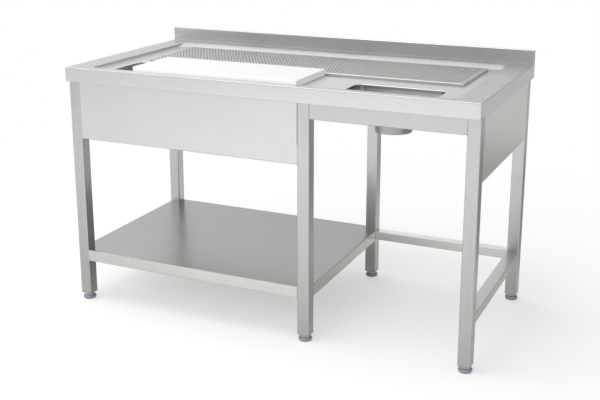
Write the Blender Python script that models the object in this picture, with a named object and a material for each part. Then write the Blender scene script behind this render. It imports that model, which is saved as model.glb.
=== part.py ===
# Fish preparation table in folded stainless sheet on six square legs.
# Metres, X along the front, Y towards the back, Z up, origin on the floor under the middle.

import math

import bmesh
import bpy
from mathutils import Vector

for thing in list(bpy.data.objects):
    bpy.data.objects.remove(thing)

# Overall sizes
TABLE_WIDTH = 1.400
TABLE_DEPTH = 0.700
WORKTOP_HEIGHT = 0.825
RIGHT_BAY = 0.545

# Sheet and clearances
SHEET = 0.0015
BEND = 0.003
GAP = 0.0003
EDGE = 0.001
ARC_STEPS = 5
SMALL_ARC_STEPS = 2
LATHE_STEPS = 20

# Worktop edges
EDGE_HEIGHT = 0.048
EDGE_RETURN = 0.011
UPSTAND_HEIGHT = 0.048
UPSTAND_THICKNESS = 0.010

# Pressed recess in the worktop
RECESS_DEPTH = 0.010
RECESS_SLOPE = 0.005
RECESS_ROLL = 0.002
RECESS_BEHIND_FOLD = 0.004
RECESS_SIDE = 0.078
RECESS_REAR = 0.100
RECESS_CORNER = 0.026

# Sink bowl
BOWL_REACH = 0.202
BOWL_FROM_LEFT = 0.138
BOWL_FROM_MID_LEG = 0.057
BOWL_DEPTH = 0.200
BOWL_CORNER = 0.040
BOWL_TAPER = 0.004
BOWL_FLOOR_RADIUS = 0.016
FLANGE = 0.009

# Bowl waste and standpipe
WASTE_BORE_RADIUS = 0.0175
WASTE_WALL = 0.0045
WASTE_LENGTH = 0.030
WASTE_FLANGE_WIDTH = 0.015
WASTE_FLANGE_THICKNESS = 0.003
SEAT_MARGIN = 0.003
SEAT_DROP = 0.004
NUT_FLANGE_WIDTH = 0.012
NUT_FLANGE_HEIGHT = 0.003
NUT_BODY_WIDTH = 0.008
NUT_HEIGHT = 0.010
TAIL_SOCKET = 0.010
TAIL_COLLAR = 0.003
TAIL_LENGTH = 0.028
PIPE_WALL = 0.002
PIPE_PLAY = 0.001
PIPE_COLLAR_WIDTH = 0.0045
PIPE_COLLAR_HEIGHT = 0.006
PIPE_COLLAR_SLOPE = 0.002
PIPE_BELOW_TOP = 0.040
PIPE_SOCKET = 0.012

# Board and perforated plate
BOARD_THICKNESS = 0.022
BOARD_LEDGE = 0.010
BOARD_RIGHT_LEDGE = 0.026
BOARD_OPEN_END = 0.100
BOARD_CORNER = 0.005
BOARD_ARC_STEPS = 3
BOARD_EDGE = 0.002
PLATE_FROM_LEFT = 0.155
PLATE_FROM_RIGHT = 0.123
PLATE_FROM_BOARD = 0.004
PLATE_FROM_REAR_STEP = 0.036
PLATE_HEIGHT = 0.008
PLATE_CORNER = 0.014
PLATE_ARC_STEPS = 4
PLATE_LEDGE = 0.018
PLATE_BORDER = 0.030
DRAIN_HOLE_RADIUS = 0.006
DRAIN_HOLE_PITCH = 0.048
DRAIN_HOLE_SIDES = 6

# Drain pan and spout under the plate
PAN_DEPTH = 0.030
PAN_FALL_LEFT = 0.013
PAN_FALL_FORWARD = 0.003
PAN_CORNER = 0.020
PAN_FLOOR_RADIUS = 0.004
SPOUT_RADIUS = 0.013
SPOUT_FROM_SIDE = 0.060
SPOUT_PROUD = 0.010

# Scrap trough and its outlet
TROUGH_BEHIND_STEP = 0.016
TROUGH_FROM_MID_LEG = 0.109
TROUGH_FROM_RIGHT = 0.148
TROUGH_DEPTH = 0.085
TROUGH_CORNER = 0.025
TROUGH_TAPER = 0.002
TROUGH_FLOOR_RADIUS = 0.004
OUTLET_RADIUS = 0.056
OUTLET_LENGTH = 0.030
OUTLET_DROP = 0.002
OUTLET_SHOULDER = 0.007
OUTLET_STEPS = 32

# Legs and feet
LEG_SIZE = 0.040
LEG_CORNER = 0.003
LEG_FRONT = 0.016
LEG_REAR = 0.040
FOOT_HEIGHT = 0.022
INSERT_FLANGE = 0.003
INSERT_LENGTH = 0.028
INSERT_BORE_STEPS = 12
PAD_RADIUS = 0.0215
PAD_HEIGHT = 0.0115
PAD_BOTTOM_ROLL = 0.003
PAD_TOP_ROLL = 0.004
SPIGOT_RADIUS = 0.008
SPIGOT_SINK = 0.007
BARREL_RADIUS = 0.0165
BARREL_EDGE = 0.0015
STEM_RADIUS = 0.0057
STEM_TOP = 0.068
STEM_EDGE = 0.002

# Aprons, rails and bearer
APRON_HEIGHT = 0.195
FRONT_RAIL_HEIGHT = 0.050
APRON_FLANGE = 0.014
RAIL_HEIGHT = 0.030
RAIL_TOP = 0.180
BEARER_WIDTH = 0.030
BEARER_HEIGHT = 0.030

# Lower shelf
SHELF_TOP = 0.185
SHELF_EDGE = 0.040
SHELF_RETURN = 0.012
STIFFENER_WIDTH = 0.060
STIFFENER_HEIGHT = 0.025
STIFFENER_LIP = 0.015

# Finishes: colour, roughness and metallic value
SATIN_SHEET = ((0.62, 0.62, 0.61), 0.32, 1.0)
SATIN_TUBE = ((0.60, 0.60, 0.60), 0.36, 1.0)
DULL_SHEET = ((0.52, 0.52, 0.50), 0.42, 1.0)
POLISHED_STEEL = ((0.70, 0.70, 0.70), 0.22, 1.0)
WHITE_PLASTIC = ((0.92, 0.92, 0.91), 0.50, 0.0)
DARK_PLASTIC = ((0.20, 0.21, 0.22), 0.55, 0.0)
GREY_PLASTIC = ((0.45, 0.46, 0.46), 0.60, 0.0)
BLUE_GREY_PLASTIC = ((0.36, 0.42, 0.48), 0.50, 0.0)
BLUE_GREY_METAL = ((0.40, 0.45, 0.50), 0.35, 0.8)

# Places worked out from the sizes above
LEFT = -TABLE_WIDTH / 2
RIGHT = TABLE_WIDTH / 2
FRONT = -TABLE_DEPTH / 2
REAR = TABLE_DEPTH / 2
EDGE_BOTTOM = WORKTOP_HEIGHT - EDGE_HEIGHT
UNDER_RIM = WORKTOP_HEIGHT - SHEET - GAP
RECESS_FLOOR = WORKTOP_HEIGHT - RECESS_DEPTH
UNDER_FLOOR = RECESS_FLOOR - SHEET - GAP
ON_FLOOR = RECESS_FLOOR + GAP
MID_LEG_X = RIGHT - RIGHT_BAY
LEG_OUTSET = SHEET + GAP
LEG_BOTTOM = FOOT_HEIGHT + INSERT_FLANGE
LEFT_LEG_X = LEFT + LEG_OUTSET + LEG_SIZE / 2
RIGHT_LEG_X = RIGHT - LEG_OUTSET - LEG_SIZE / 2
FRONT_LEG_Y = FRONT + LEG_FRONT + LEG_SIZE / 2
REAR_LEG_Y = REAR - LEG_REAR - LEG_SIZE / 2
HALF_LEG = LEG_SIZE / 2
BEND_MID = BEND * (1 - math.cos(math.radians(45)))

# Rectangles seen from above: left, right, front and rear
RECESS_FRONT = FRONT + LEG_FRONT + APRON_FLANGE + RECESS_BEHIND_FOLD
RECESS = (LEFT + RECESS_SIDE, RIGHT - RECESS_SIDE, RECESS_FRONT, REAR - RECESS_REAR)
BOARD_FRONT = RECESS_FRONT + RECESS_SLOPE
BOWL_LEFT = LEFT + BOWL_FROM_LEFT
BOWL_RIGHT = MID_LEG_X - BOWL_FROM_MID_LEG
BOWL_FRONT = BOARD_FRONT + BOARD_LEDGE
BOWL = (BOWL_LEFT, BOWL_RIGHT, BOWL_FRONT, BOWL_FRONT + BOWL_REACH)
BOARD = (
    BOWL_LEFT + BOARD_OPEN_END,
    BOWL_RIGHT + BOARD_RIGHT_LEDGE,
    BOARD_FRONT,
    BOWL[3] + BOARD_LEDGE,
)
PLATE = (
    LEFT + PLATE_FROM_LEFT,
    RIGHT - PLATE_FROM_RIGHT,
    BOARD[3] + PLATE_FROM_BOARD,
    RECESS[3] - PLATE_FROM_REAR_STEP,
)
PAN = (
    PLATE[0] + PLATE_LEDGE,
    PLATE[1] - PLATE_LEDGE,
    PLATE[2] + PLATE_LEDGE,
    PLATE[3] - PLATE_LEDGE,
)
TROUGH_FRONT = RECESS_FRONT + TROUGH_BEHIND_STEP
TROUGH = (
    MID_LEG_X + TROUGH_FROM_MID_LEG,
    RIGHT - TROUGH_FROM_RIGHT,
    TROUGH_FRONT,
    TROUGH_FRONT + 2 * (OUTLET_RADIUS + OUTLET_SHOULDER),
)


def material(name, finish):
    colour, roughness, metallic = finish
    made = bpy.data.materials.new(name)
    made.use_nodes = True
    shader = made.node_tree.nodes["Principled BSDF"]
    shader.inputs["Base Color"].default_value = (*colour, 1.0)
    shader.inputs["Roughness"].default_value = roughness
    shader.inputs["Metallic"].default_value = metallic
    made.diffuse_color = (*colour, 1.0)
    return made


def place(name, mesh, finish, parent=None, at=(0, 0, 0)):
    """One named object with its own material."""
    thing = bpy.data.objects.new(name, mesh)
    bpy.context.scene.collection.objects.link(thing)
    if not mesh.materials:
        mesh.materials.append(None)
    slot = thing.material_slots[0]
    slot.link = "OBJECT"
    slot.material = material(name + "_finish", finish)
    thing.parent = parent
    thing.location = at
    return thing


def mesh_from(shape, name):
    mesh = bpy.data.meshes.new(name)
    shape.to_mesh(mesh)
    shape.free()
    return mesh


def thicken(thing):
    """Gives a drawn surface the thickness of the sheet, on the side away from its normals."""
    solid = thing.modifiers.new("sheet", "SOLIDIFY")
    solid.solidify_mode = "NON_MANIFOLD"
    solid.nonmanifold_thickness_mode = "CONSTRAINTS"
    solid.thickness = SHEET
    solid.offset = -1


def cut(thing, cutter):
    cutter.hide_render = True
    cutter.display_type = "WIRE"
    hole = thing.modifiers.new("cut", "BOOLEAN")
    hole.operation = "DIFFERENCE"
    hole.solver = "EXACT"
    hole.object = cutter


def smooth(thing, degrees=35):
    thing.data.shade_smooth()
    thing.data.set_sharp_from_angle(angle=math.radians(degrees))


def grown(rect, outset):
    return (rect[0] - outset, rect[1] + outset, rect[2] - outset, rect[3] + outset)


def rounded(shape, rect, corner, z, steps=ARC_STEPS):
    """A ring of points round a rectangle with round corners, anticlockwise from above."""
    corners = (
        (rect[1] - corner, rect[2] + corner, -90),
        (rect[1] - corner, rect[3] - corner, 0),
        (rect[0] + corner, rect[3] - corner, 90),
        (rect[0] + corner, rect[2] + corner, 180),
    )
    ring = []
    for x, y, start in corners:
        for step in range(steps + 1):
            angle = math.radians(start + 90 * step / steps)
            ring.append(shape.verts.new((x + corner * math.cos(angle), y + corner * math.sin(angle), z)))
    return ring


def circle(shape, x, y, radius, z, steps=LATHE_STEPS):
    turn = math.tau / steps
    return [
        shape.verts.new((x + radius * math.cos(k * turn), y + radius * math.sin(k * turn), z))
        for k in range(steps)
    ]


def join(shape, outer, inner):
    """Quads between two rings of equal count, facing up or inwards when the outer ring comes first."""
    for k in range(len(outer)):
        after = (k + 1) % len(outer)
        shape.faces.new((outer[k], outer[after], inner[after], inner[k]))


def fill(shape, *rings):
    """A flat face, facing up, inside the first ring and outside the others."""
    shape.verts.index_update()
    edges = []
    for ring in rings:
        for k in range(len(ring)):
            pair = (ring[k], ring[(k + 1) % len(ring)])
            edges.append(shape.edges.get(pair) or shape.edges.new(pair))
    made = bmesh.ops.triangle_fill(shape, use_beauty=True, edges=edges)
    for face in made["geom"]:
        if isinstance(face, bmesh.types.BMFace):
            face.normal_update()
            if face.normal.z < 0:
                face.normal_flip()


def basin(shape, rect, corner, depth, taper, floor_radius):
    """The drawn surface of a basin hung under the worktop; the last ring bounds its floor."""
    top = UNDER_FLOOR
    bottom = top - depth
    profile = [(FLANGE, top), (BEND, top), (BEND_MID, top - BEND_MID), (0, top - BEND)]
    for angle in (math.radians(0), math.radians(30), math.radians(60), math.radians(90)):
        inset = taper + floor_radius * (1 - math.cos(angle))
        profile.append((-inset, bottom + floor_radius * (1 - math.sin(angle))))
    rings = [rounded(shape, grown(rect, out), corner + out, z) for out, z in profile]
    for outer, inner in zip(rings, rings[1:]):
        join(shape, outer, inner)
    return rings


def lathed(profile, name, steps=LATHE_STEPS):
    """A solid turned about the vertical, from its outline of radius and height."""
    shape = bmesh.new()
    points = [shape.verts.new((radius, 0, z)) for radius, z in profile]
    closed = profile[0][0] > 0
    pairs = list(zip(points, points[1:]))
    if closed:
        pairs.append((points[-1], points[0]))
    edges = [shape.edges.new(pair) for pair in pairs]
    bmesh.ops.spin(
        shape,
        geom=points + edges,
        cent=(0, 0, 0),
        axis=(0, 0, 1),
        angle=math.tau,
        steps=steps,
    )
    bmesh.ops.remove_doubles(shape, verts=shape.verts[:], dist=1e-6)
    bmesh.ops.recalc_face_normals(shape, faces=shape.faces[:])
    return mesh_from(shape, name)


def square_tube(width, depth, low, high, name, axis="Z"):
    """A square tube with open ends, along the axis from low to high."""
    shape = bmesh.new()
    half_w = width / 2
    half_d = depth / 2
    outer = (-half_w, half_w, -half_d, half_d)
    inner = grown(outer, -SHEET)
    inner_corner = LEG_CORNER - SHEET / 2
    outer_low = rounded(shape, outer, LEG_CORNER, low, SMALL_ARC_STEPS)
    outer_high = rounded(shape, outer, LEG_CORNER, high, SMALL_ARC_STEPS)
    inner_low = rounded(shape, inner, inner_corner, low, SMALL_ARC_STEPS)
    inner_high = rounded(shape, inner, inner_corner, high, SMALL_ARC_STEPS)
    join(shape, outer_low, outer_high)
    join(shape, outer_high, inner_high)
    join(shape, inner_high, inner_low)
    join(shape, inner_low, outer_low)
    bmesh.ops.recalc_face_normals(shape, faces=shape.faces[:])
    if axis == "X":
        turned = [(vert.co.z, vert.co.x, vert.co.y) for vert in shape.verts]
    elif axis == "Y":
        turned = [(vert.co.y, vert.co.z, vert.co.x) for vert in shape.verts]
    else:
        turned = [tuple(vert.co) for vert in shape.verts]
    for vert, spot in zip(shape.verts, turned):
        vert.co = spot
    return mesh_from(shape, name)


def folded(path, low, high, axis, name):
    """The drawn surface of a folded strip: a path of across and up, carried along the axis."""
    shape = bmesh.new()
    for (a, up_a), (b, up_b) in zip(path, path[1:]):
        if axis == "X":
            spots = ((low, a, up_a), (high, a, up_a), (high, b, up_b), (low, b, up_b))
        else:
            spots = ((a, high, up_a), (a, low, up_a), (b, low, up_b), (b, high, up_b))
        shape.faces.new([shape.verts.new(spot) for spot in spots])
    bmesh.ops.remove_doubles(shape, verts=shape.verts[:], dist=1e-6)
    return mesh_from(shape, name)


def bent(thing):
    """Rounds the folds of a strip, then gives it its thickness."""
    bend = thing.modifiers.new("bend", "BEVEL")
    bend.width = BEND
    bend.segments = 2
    bend.limit_method = "ANGLE"
    bend.angle_limit = math.radians(50)
    thicken(thing)


# Worktop

def bend_points(y, z, side_y, side_z):
    """Three points round a fold whose sharp corner would be at y and z."""
    return [
        (y + side_y[0] * BEND, z + side_y[1] * BEND),
        (y + (side_y[0] + side_z[0]) * BEND_MID, z + (side_y[1] + side_z[1]) * BEND_MID),
        (y + side_z[0] * BEND, z + side_z[1] * BEND),
    ]


def worktop_mesh():
    shape = bmesh.new()
    top = WORKTOP_HEIGHT
    upstand_face = REAR - UPSTAND_THICKNESS
    upstand_top = top + UPSTAND_HEIGHT
    front_part = [(FRONT + EDGE_RETURN, EDGE_BOTTOM)]
    front_part += bend_points(FRONT, EDGE_BOTTOM, (1, 0), (0, 1))
    front_part += bend_points(FRONT, top, (0, -1), (1, 0))
    rear_part = bend_points(upstand_face, top, (-1, 0), (0, 1))
    rear_part += bend_points(upstand_face, upstand_top, (0, -1), (1, 0))
    rear_part += bend_points(REAR, upstand_top, (-1, 0), (0, -1))
    rear_part += bend_points(REAR, EDGE_BOTTOM, (0, 1), (-1, 0))
    rear_part.append((REAR - EDGE_RETURN, EDGE_BOTTOM))
    ends = []
    for x in (LEFT, RIGHT):
        front_side = [shape.verts.new((x, y, z)) for y, z in front_part]
        rear_side = [shape.verts.new((x, y, z)) for y, z in rear_part]
        ends.append((front_side, rear_side))
    for part in (0, 1):
        left_side = ends[0][part]
        right_side = ends[1][part]
        for k in range(len(left_side) - 1):
            quad = (left_side[k + 1], left_side[k], right_side[k], right_side[k + 1])
            shape.faces.new(quad)
    left_end, right_end = ends
    shape.faces.new(left_end[0][2:] + left_end[1][:-2])
    shape.faces.new(list(reversed(right_end[0][2:] + right_end[1][:-2])))
    rim = [left_end[0][-1], right_end[0][-1], right_end[1][0], left_end[1][0]]
    roll_mid = RECESS_ROLL / 2
    recess_wall = [
        (BEND, top),
        (BEND_MID, top - BEND_MID),
        (roll_mid - RECESS_SLOPE, RECESS_FLOOR + roll_mid),
        (-RECESS_ROLL - RECESS_SLOPE, RECESS_FLOOR),
    ]
    rings = [rounded(shape, grown(RECESS, out), RECESS_CORNER + out, z) for out, z in recess_wall]
    fill(shape, rim, rings[0])
    for wide, narrow in zip(rings, rings[1:]):
        join(shape, wide, narrow)
    fill(
        shape,
        rings[-1],
        rounded(shape, BOWL, BOWL_CORNER, RECESS_FLOOR),
        rounded(shape, PAN, PAN_CORNER, RECESS_FLOOR),
        rounded(shape, TROUGH, TROUGH_CORNER, RECESS_FLOOR),
    )
    return mesh_from(shape, "worktop")


worktop = place("worktop", worktop_mesh(), SATIN_SHEET)
thicken(worktop)

# Sink bowl

bowl_shape = bmesh.new()
bowl_rings = basin(bowl_shape, BOWL, BOWL_CORNER, BOWL_DEPTH, BOWL_TAPER, BOWL_FLOOR_RADIUS)
sleeve_radius = WASTE_BORE_RADIUS + WASTE_WALL
flange_radius = sleeve_radius + WASTE_FLANGE_WIDTH
seat_radius = flange_radius + SEAT_MARGIN
waste_x = BOWL_LEFT + BOWL_TAPER + BOWL_FLOOR_RADIUS + seat_radius + GAP
waste_y = (BOWL[2] + BOWL[3]) / 2
bowl_floor = UNDER_FLOOR - BOWL_DEPTH
seat_z = bowl_floor - SEAT_DROP
seat_ring = circle(bowl_shape, waste_x, waste_y, seat_radius, bowl_floor)
fill(bowl_shape, bowl_rings[-1], seat_ring)
for vert in seat_ring:
    vert.co.z = seat_z
hole_ring = circle(bowl_shape, waste_x, waste_y, sleeve_radius + GAP, seat_z)
join(bowl_shape, seat_ring, hole_ring)
sink_bowl = place("sink_bowl", mesh_from(bowl_shape, "sink_bowl"), SATIN_SHEET, worktop)
thicken(sink_bowl)

# Drain pan under the perforated plate, its floor falling to the left and the front

pan_shape = bmesh.new()
pan_rings = basin(pan_shape, PAN, PAN_CORNER, PAN_DEPTH, 0, PAN_FLOOR_RADIUS)
fill(pan_shape, pan_rings[-1])
for ring in pan_rings[4:]:
    for vert in ring:
        leftwards = (PAN[1] - vert.co.x) / (PAN[1] - PAN[0])
        forward = (PAN[3] - vert.co.y) / (PAN[3] - PAN[2])
        vert.co.z -= PAN_FALL_LEFT * leftwards + PAN_FALL_FORWARD * forward
drain_pan = place("drain_pan", mesh_from(pan_shape, "drain_pan"), SATIN_SHEET, worktop)
thicken(drain_pan)
pan_low = UNDER_FLOOR - PAN_DEPTH - PAN_FALL_LEFT - PAN_FALL_FORWARD

spout_x = PAN[0] + SPOUT_FROM_SIDE
spout_z = pan_low + PAN_FLOOR_RADIUS + SPOUT_RADIUS + BEND
spout_start = BOWL[3] - BOWL_TAPER - SPOUT_PROUD
spout_end = PAN[2] + SPOUT_PROUD


def spout_mesh(radius, bore, name):
    profile = [(radius, spout_end), (radius, spout_start)]
    if bore:
        profile += [(bore, spout_start), (bore, spout_end)]
    else:
        profile = [(0, spout_end)] + profile + [(0, spout_start)]
    return lathed(profile, name)


# The spout's length lies along Y, so its turned outline is tipped over.
tip_over = (math.radians(-90), 0, 0)
spout_place = (spout_x, 0, spout_z)
tube_mesh = spout_mesh(SPOUT_RADIUS, SPOUT_RADIUS - SHEET, "drain_spout")
drain_spout = place("drain_spout", tube_mesh, SATIN_TUBE, worktop, spout_place)
drain_spout.rotation_euler = tip_over
smooth(drain_spout)
hole_mesh = spout_mesh(SPOUT_RADIUS + GAP, 0, "spout_hole")
spout_hole = place("spout_hole", hole_mesh, SATIN_TUBE, worktop, spout_place)
spout_hole.rotation_euler = tip_over
cut(sink_bowl, spout_hole)
cut(drain_pan, spout_hole)

# Scrap trough with its round outlet

trough_shape = bmesh.new()
trough_rings = basin(
    trough_shape, TROUGH, TROUGH_CORNER, TROUGH_DEPTH, TROUGH_TAPER, TROUGH_FLOOR_RADIUS
)
outlet_x = (TROUGH[0] + TROUGH[1]) / 2
outlet_y = (TROUGH[2] + TROUGH[3]) / 2
trough_floor = UNDER_FLOOR - TROUGH_DEPTH
outlet_bore = OUTLET_RADIUS - SHEET
outlet_ring = circle(trough_shape, outlet_x, outlet_y, outlet_bore, trough_floor, OUTLET_STEPS)
fill(trough_shape, trough_rings[-1], outlet_ring)
for vert in outlet_ring:
    vert.co.z -= OUTLET_DROP
trough_mesh = mesh_from(trough_shape, "scrap_trough")
scrap_trough = place("scrap_trough", trough_mesh, SATIN_SHEET, worktop)
thicken(scrap_trough)
outlet_top = trough_floor - OUTLET_DROP - SHEET - GAP
outlet_outline = [
    (OUTLET_RADIUS, 0),
    (OUTLET_RADIUS, -OUTLET_LENGTH),
    (outlet_bore, -OUTLET_LENGTH),
    (outlet_bore, 0),
]
outlet_place = (outlet_x, outlet_y, outlet_top)
outlet_mesh = lathed(outlet_outline, "scrap_outlet", OUTLET_STEPS)
scrap_outlet = place("scrap_outlet", outlet_mesh, DULL_SHEET, scrap_trough, outlet_place)
smooth(scrap_outlet)

# Bowl waste: flanged sleeve, nut under the bowl and tail for the trap

flange_low = GAP
flange_high = flange_low + WASTE_FLANGE_THICKNESS
sleeve_low = flange_low - WASTE_LENGTH
waste_outline = [
    (WASTE_BORE_RADIUS, flange_high - EDGE),
    (WASTE_BORE_RADIUS + EDGE, flange_high),
    (flange_radius - WASTE_FLANGE_THICKNESS, flange_high),
    (flange_radius, flange_low + EDGE),
    (flange_radius, flange_low),
    (sleeve_radius, flange_low),
    (sleeve_radius, sleeve_low),
    (WASTE_BORE_RADIUS, sleeve_low),
]
waste_mesh = lathed(waste_outline, "waste_sleeve")
waste_sleeve = place("waste_sleeve", waste_mesh, POLISHED_STEEL, sink_bowl, (waste_x, waste_y, seat_z))
smooth(waste_sleeve)

nut_top = -SHEET - GAP
nut_outline = [
    (sleeve_radius + GAP, nut_top),
    (sleeve_radius + NUT_FLANGE_WIDTH, nut_top),
    (sleeve_radius + NUT_FLANGE_WIDTH, nut_top - NUT_FLANGE_HEIGHT + EDGE),
    (sleeve_radius + NUT_BODY_WIDTH, nut_top - NUT_FLANGE_HEIGHT),
    (sleeve_radius + NUT_BODY_WIDTH, nut_top - NUT_HEIGHT),
    (sleeve_radius + GAP, nut_top - NUT_HEIGHT),
]
waste_nut = place("waste_nut", lathed(nut_outline, "waste_nut"), DARK_PLASTIC, waste_sleeve)
smooth(waste_nut)

tail_radius = WASTE_BORE_RADIUS - GAP
collar_top = sleeve_low - GAP
tail_outline = [
    (tail_radius - PIPE_WALL, sleeve_low + TAIL_SOCKET),
    (tail_radius, sleeve_low + TAIL_SOCKET),
    (tail_radius, collar_top),
    (sleeve_radius, collar_top),
    (sleeve_radius, collar_top - TAIL_COLLAR),
    (tail_radius, collar_top - TAIL_COLLAR),
    (tail_radius, collar_top - TAIL_LENGTH),
    (tail_radius - PIPE_WALL, collar_top - TAIL_LENGTH),
]
waste_tail = place("waste_tail", lathed(tail_outline, "waste_tail"), WHITE_PLASTIC, waste_sleeve)
smooth(waste_tail)

pipe_seat = flange_high + GAP
pipe_top = WORKTOP_HEIGHT - PIPE_BELOW_TOP - seat_z
pipe_radius = WASTE_BORE_RADIUS - PIPE_PLAY
collar_radius = WASTE_BORE_RADIUS + PIPE_COLLAR_WIDTH
pipe_outline = [
    (pipe_radius - PIPE_WALL, pipe_top),
    (pipe_radius, pipe_top),
    (pipe_radius, pipe_seat + PIPE_COLLAR_HEIGHT + PIPE_COLLAR_SLOPE),
    (collar_radius, pipe_seat + PIPE_COLLAR_HEIGHT),
    (collar_radius, pipe_seat),
    (WASTE_BORE_RADIUS - GAP, pipe_seat),
    (pipe_radius, pipe_seat - PIPE_SOCKET),
    (pipe_radius - PIPE_WALL, pipe_seat - PIPE_SOCKET),
]
pipe_mesh = lathed(pipe_outline, "overflow_pipe")
overflow_pipe = place("overflow_pipe", pipe_mesh, WHITE_PLASTIC, waste_sleeve)
smooth(overflow_pipe)

# Cutting board, lifted off the recess

board_shape = bmesh.new()
board_low = rounded(board_shape, BOARD, BOARD_CORNER, 0, BOARD_ARC_STEPS)
board_high = rounded(board_shape, BOARD, BOARD_CORNER, BOARD_THICKNESS, BOARD_ARC_STEPS)
join(board_shape, board_low, board_high)
board_shape.faces.new(board_high)
board_shape.faces.new(list(reversed(board_low)))
bmesh.ops.recalc_face_normals(board_shape, faces=board_shape.faces[:])
board_mesh = mesh_from(board_shape, "cutting_board")
cutting_board = place("cutting_board", board_mesh, WHITE_PLASTIC, worktop, (0, 0, ON_FLOOR))
board_edge = cutting_board.modifiers.new("edge", "BEVEL")
board_edge.width = BOARD_EDGE
board_edge.segments = 2
board_edge.limit_method = "ANGLE"
board_edge.angle_limit = math.radians(50)

# Perforated plate with its edges folded down

plate_shape = bmesh.new()
plate_profile = [
    (0, 0),
    (0, PLATE_HEIGHT - BEND),
    (-BEND_MID, PLATE_HEIGHT - BEND_MID),
    (-BEND, PLATE_HEIGHT),
]
plate_rings = [
    rounded(plate_shape, grown(PLATE, out), PLATE_CORNER + out, z, PLATE_ARC_STEPS)
    for out, z in plate_profile
]
for outer, inner in zip(plate_rings, plate_rings[1:]):
    join(plate_shape, outer, inner)
plate_shape.faces.new(plate_rings[-1])
plate_mesh = mesh_from(plate_shape, "perforated_plate")
perforated_plate = place("perforated_plate", plate_mesh, DULL_SHEET, worktop, (0, 0, ON_FLOOR))
thicken(perforated_plate)

holes_shape = bmesh.new()
row_pitch = DRAIN_HOLE_PITCH * math.sqrt(3) / 2
hole_rows = int((PLATE[3] - PLATE[2] - 2 * PLATE_BORDER) / row_pitch) + 1
holes_across = int((PLATE[1] - PLATE[0] - 2 * PLATE_BORDER) / DRAIN_HOLE_PITCH)
plate_mid_x = (PLATE[0] + PLATE[1]) / 2
plate_mid_y = (PLATE[2] + PLATE[3]) / 2
punch_top = 2 * PLATE_HEIGHT
for row in range(hole_rows):
    hole_y = plate_mid_y + (row - (hole_rows - 1) / 2) * row_pitch
    stagger = DRAIN_HOLE_PITCH / 4 if row % 2 else -DRAIN_HOLE_PITCH / 4
    row_left = plate_mid_x + stagger - (holes_across - 1) / 2 * DRAIN_HOLE_PITCH
    for k in range(holes_across):
        at = (row_left + k * DRAIN_HOLE_PITCH, hole_y, DRAIN_HOLE_RADIUS)
        low_ring = circle(holes_shape, *at, 0, DRAIN_HOLE_SIDES)
        high_ring = circle(holes_shape, *at, punch_top, DRAIN_HOLE_SIDES)
        join(holes_shape, low_ring, high_ring)
        holes_shape.faces.new(high_ring)
        holes_shape.faces.new(list(reversed(low_ring)))
punch_mesh = mesh_from(holes_shape, "plate_holes")
plate_holes = place("plate_holes", punch_mesh, DULL_SHEET, worktop, (0, 0, ON_FLOOR))
cut(perforated_plate, plate_holes)

# Legs, inserts and screw feet

full_leg = square_tube(LEG_SIZE, LEG_SIZE, 0, UNDER_RIM - LEG_BOTTOM, "full_leg")
recess_leg = square_tube(LEG_SIZE, LEG_SIZE, 0, UNDER_FLOOR - LEG_BOTTOM, "recess_leg")

insert_shape = bmesh.new()
half_plug = HALF_LEG - SHEET - GAP
plug_corner = LEG_CORNER - SHEET / 2
bore_radius = STEM_RADIUS + GAP
leg_square = (-HALF_LEG, HALF_LEG, -HALF_LEG, HALF_LEG)
plug_square = (-half_plug, half_plug, -half_plug, half_plug)
flange_bottom = rounded(insert_shape, leg_square, LEG_CORNER, -INSERT_FLANGE, SMALL_ARC_STEPS)
flange_top = rounded(insert_shape, leg_square, LEG_CORNER, -GAP, SMALL_ARC_STEPS)
plug_bottom = rounded(insert_shape, plug_square, plug_corner, -GAP, SMALL_ARC_STEPS)
plug_top = rounded(insert_shape, plug_square, plug_corner, INSERT_LENGTH, SMALL_ARC_STEPS)
bore_bottom = circle(insert_shape, 0, 0, bore_radius, -INSERT_FLANGE, INSERT_BORE_STEPS)
bore_top = circle(insert_shape, 0, 0, bore_radius, INSERT_LENGTH, INSERT_BORE_STEPS)
join(insert_shape, flange_bottom, flange_top)
join(insert_shape, flange_top, plug_bottom)
join(insert_shape, plug_bottom, plug_top)
join(insert_shape, bore_top, bore_bottom)
fill(insert_shape, plug_top, bore_top)
fill(insert_shape, flange_bottom, bore_bottom)
bmesh.ops.recalc_face_normals(insert_shape, faces=insert_shape.faces[:])
insert_mesh = mesh_from(insert_shape, "leg_insert")

pad_outline = [
    (0, 0),
    (PAD_RADIUS - PAD_BOTTOM_ROLL, 0),
    (PAD_RADIUS, PAD_BOTTOM_ROLL),
    (PAD_RADIUS, PAD_HEIGHT - PAD_TOP_ROLL),
    (PAD_RADIUS - EDGE, PAD_HEIGHT - EDGE),
    (PAD_RADIUS - PAD_TOP_ROLL, PAD_HEIGHT),
    (SPIGOT_RADIUS + GAP, PAD_HEIGHT),
    (SPIGOT_RADIUS + GAP, PAD_HEIGHT - SPIGOT_SINK),
    (0, PAD_HEIGHT - SPIGOT_SINK),
]
pad_mesh = lathed(pad_outline, "foot_pad")
barrel_low = PAD_HEIGHT + GAP
barrel_high = FOOT_HEIGHT - GAP
screw_outline = [
    (0, barrel_low - SPIGOT_SINK),
    (SPIGOT_RADIUS, barrel_low - SPIGOT_SINK),
    (SPIGOT_RADIUS, barrel_low),
    (BARREL_RADIUS - BARREL_EDGE, barrel_low),
    (BARREL_RADIUS, barrel_low + BARREL_EDGE),
    (BARREL_RADIUS, barrel_high),
    (STEM_RADIUS, barrel_high),
    (STEM_RADIUS, STEM_TOP - STEM_EDGE),
    (STEM_RADIUS - STEM_EDGE, STEM_TOP),
    (0, STEM_TOP),
]
screw_mesh = lathed(screw_outline, "foot_screw")

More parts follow.
